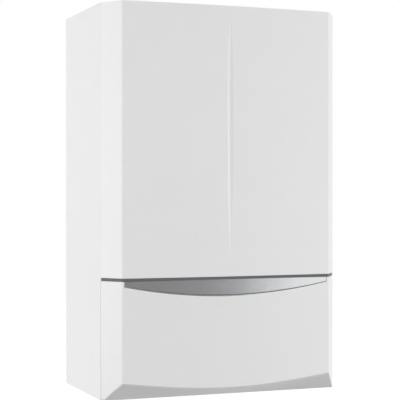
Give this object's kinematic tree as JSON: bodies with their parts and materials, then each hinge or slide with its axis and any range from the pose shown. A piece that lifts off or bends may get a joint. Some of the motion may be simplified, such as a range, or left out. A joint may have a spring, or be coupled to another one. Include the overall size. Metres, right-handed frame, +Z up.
{
  "type": "wall-hung condensing boiler",
  "caption": "Wall-hung condensing boiler: bevelled white casing with a grooved bowed cover, a drop-down flap over its controls, and burner, fan, pump and flue collar inside.",
  "frame": {"origin": "midway between the two wall screws of the bracket, on the wall plane", "axes": "+X to the right seen from the front, +Y into the wall, +Z up"},
  "size_m": [0.588, 0.35, 0.93],
  "materials": {
    "white_steel": "satin white powder coat",
    "white_plastic": "satin white moulding",
    "silver_plastic": "silver-grey moulding",
    "grey_plastic": "mid-grey moulding",
    "dark_plastic": "dark grey moulding",
    "zinc_steel": "zinc-plated sheet",
    "seal_rubber": "soft black seal",
    "control_plastic": "pale grey moulding",
    "button_plastic": "grey moulding",
    "clear": "clear moulding",
    "display": "display panel",
    "board": "circuit board",
    "gauge": "white dial and black cup",
    "red": "red moulding",
    "stainless": "stainless steel",
    "shell_plastic": "black composite drum",
    "cast_aluminium": "raw casting",
    "blade": "pressed wheel",
    "flue_plastic": "white flue plastic",
    "copper_brass": "copper and brass",
    "cast_iron": "painted casting",
    "wheel_plastic": "moulded wheel",
    "vessel_paint": "red paint",
    "trap_plastic": "grey trap moulding"
  },
  "bodies": {
    "casing": {"left_side_panel": "white_steel", "right_side_panel": "white_steel", "top_panel": "white_steel", "gap_trim": "dark_plastic", "cable_glands": "dark_plastic", "flap_catches": "dark_plastic", "wall_bracket": "zinc_steel", "back_frame": "zinc_steel", "bottom_plate": "zinc_steel", "chamber_floor": "zinc_steel", "hinge_brackets": "zinc_steel", "cover_clips": "zinc_steel", "door_nuts": "zinc_steel", "cover_gasket": "seal_rubber", "control_box": "control_plastic", "control_fascia": "control_plastic", "display_window": "clear", "gauge_lens": "clear", "display_module": "display", "main_board": "board", "gauge_body": "gauge", "exchanger_coil": "stainless", "burner_tube": "stainless", "electrodes": "stainless", "exchanger_shell": "shell_plastic", "fan_motor": "shell_plastic", "pump_motor": "shell_plastic", "burner_door": "cast_aluminium", "fan_housing": "cast_aluminium", "venturi": "cast_aluminium", "gas_valve": "cast_aluminium", "mixture_duct": "cast_aluminium", "flue_duct": "flue_plastic", "flue_adaptor": "flue_plastic", "gas_pipe": "copper_brass", "flow_pipe": "copper_brass", "return_pipe": "copper_brass", "vessel_pipe": "copper_brass", "flow_manifold": "copper_brass", "safety_valve": "copper_brass", "pump_body": "cast_iron", "expansion_vessel": "vessel_paint", "condensate_siphon": "trap_plastic", "condensate_pipe": "trap_plastic"},
    "flap": {"flap_panel": "white_plastic", "flap_grip_insert": "silver_plastic", "flap_bottom_trim": "grey_plastic", "hinge_pins": "zinc_steel", "flap_strikes": "zinc_steel"},
    "cover": {"front_cover": "white_steel"},
    "heating_knob": {"heating_knob": "dark_plastic"},
    "hot_water_knob": {"hot_water_knob": "dark_plastic"},
    "button_1": {"button_1": "button_plastic"},
    "button_2": {"button_2": "button_plastic"},
    "button_3": {"button_3": "button_plastic"},
    "button_4": {"button_4": "button_plastic"},
    "gauge_needle": {"gauge_needle": "red"},
    "fan_impeller": {"fan_impeller": "blade"},
    "pump_impeller": {"pump_impeller": "wheel_plastic"},
    "safety_cap": {"safety_cap": "red"}
  },
  "joints": [
    {"name": "flap_hinge", "type": "hinge", "parent": "casing", "child": "flap", "pos_m": [0, -0.302, -0.83], "axis": [1, 0, 0], "range_deg": [0, 95]},
    {"name": "cover_pull_off", "type": "slide", "parent": "casing", "child": "cover", "axis": [0, -1, 0], "range_m": [0, 0.3]},
    {"name": "heating_knob_turn", "type": "hinge", "parent": "casing", "child": "heating_knob", "pos_m": [0.12, -0.286, -0.662], "axis": [0, 1, 0], "range_deg": [-135, 135]},
    {"name": "hot_water_knob_turn", "type": "hinge", "parent": "casing", "child": "hot_water_knob", "pos_m": [0.19, -0.286, -0.662], "axis": [0, 1, 0], "range_deg": [-135, 135]},
    {"name": "gauge_needle_swing", "type": "hinge", "parent": "casing", "child": "gauge_needle", "pos_m": [-0.175, -0.286, -0.678], "axis": [0, 1, 0], "range_deg": [-120, 120]},
    {"name": "fan_spin", "type": "hinge", "parent": "casing", "child": "fan_impeller", "pos_m": [-0.213, -0.15, -0.23], "axis": [0, 0, 1], "continuous": true},
    {"name": "pump_spin", "type": "hinge", "parent": "casing", "child": "pump_impeller", "pos_m": [0.1102, -0.15, -0.72], "axis": [1, 0, 0], "continuous": true},
    {"name": "safety_cap_turn", "type": "hinge", "parent": "casing", "child": "safety_cap", "pos_m": [-0.0188, -0.15, -0.65], "axis": [0, 0, 1], "range_deg": [0, 90]},
    {"name": "button_1_press", "type": "slide", "parent": "casing", "child": "button_1", "axis": [0, 1, 0], "range_m": [0, 0.0015], "stiffness_N_per_m": 800, "springref_m": -0.0008},
    {"name": "button_2_press", "type": "slide", "parent": "casing", "child": "button_2", "axis": [0, 1, 0], "range_m": [0, 0.0015], "stiffness_N_per_m": 800, "springref_m": -0.0008},
    {"name": "button_3_press", "type": "slide", "parent": "casing", "child": "button_3", "axis": [0, 1, 0], "range_m": [0, 0.0015], "stiffness_N_per_m": 800, "springref_m": -0.0008},
    {"name": "button_4_press", "type": "slide", "parent": "casing", "child": "button_4", "axis": [0, 1, 0], "range_m": [0, 0.0015], "stiffness_N_per_m": 800, "springref_m": -0.0008}
  ]
}
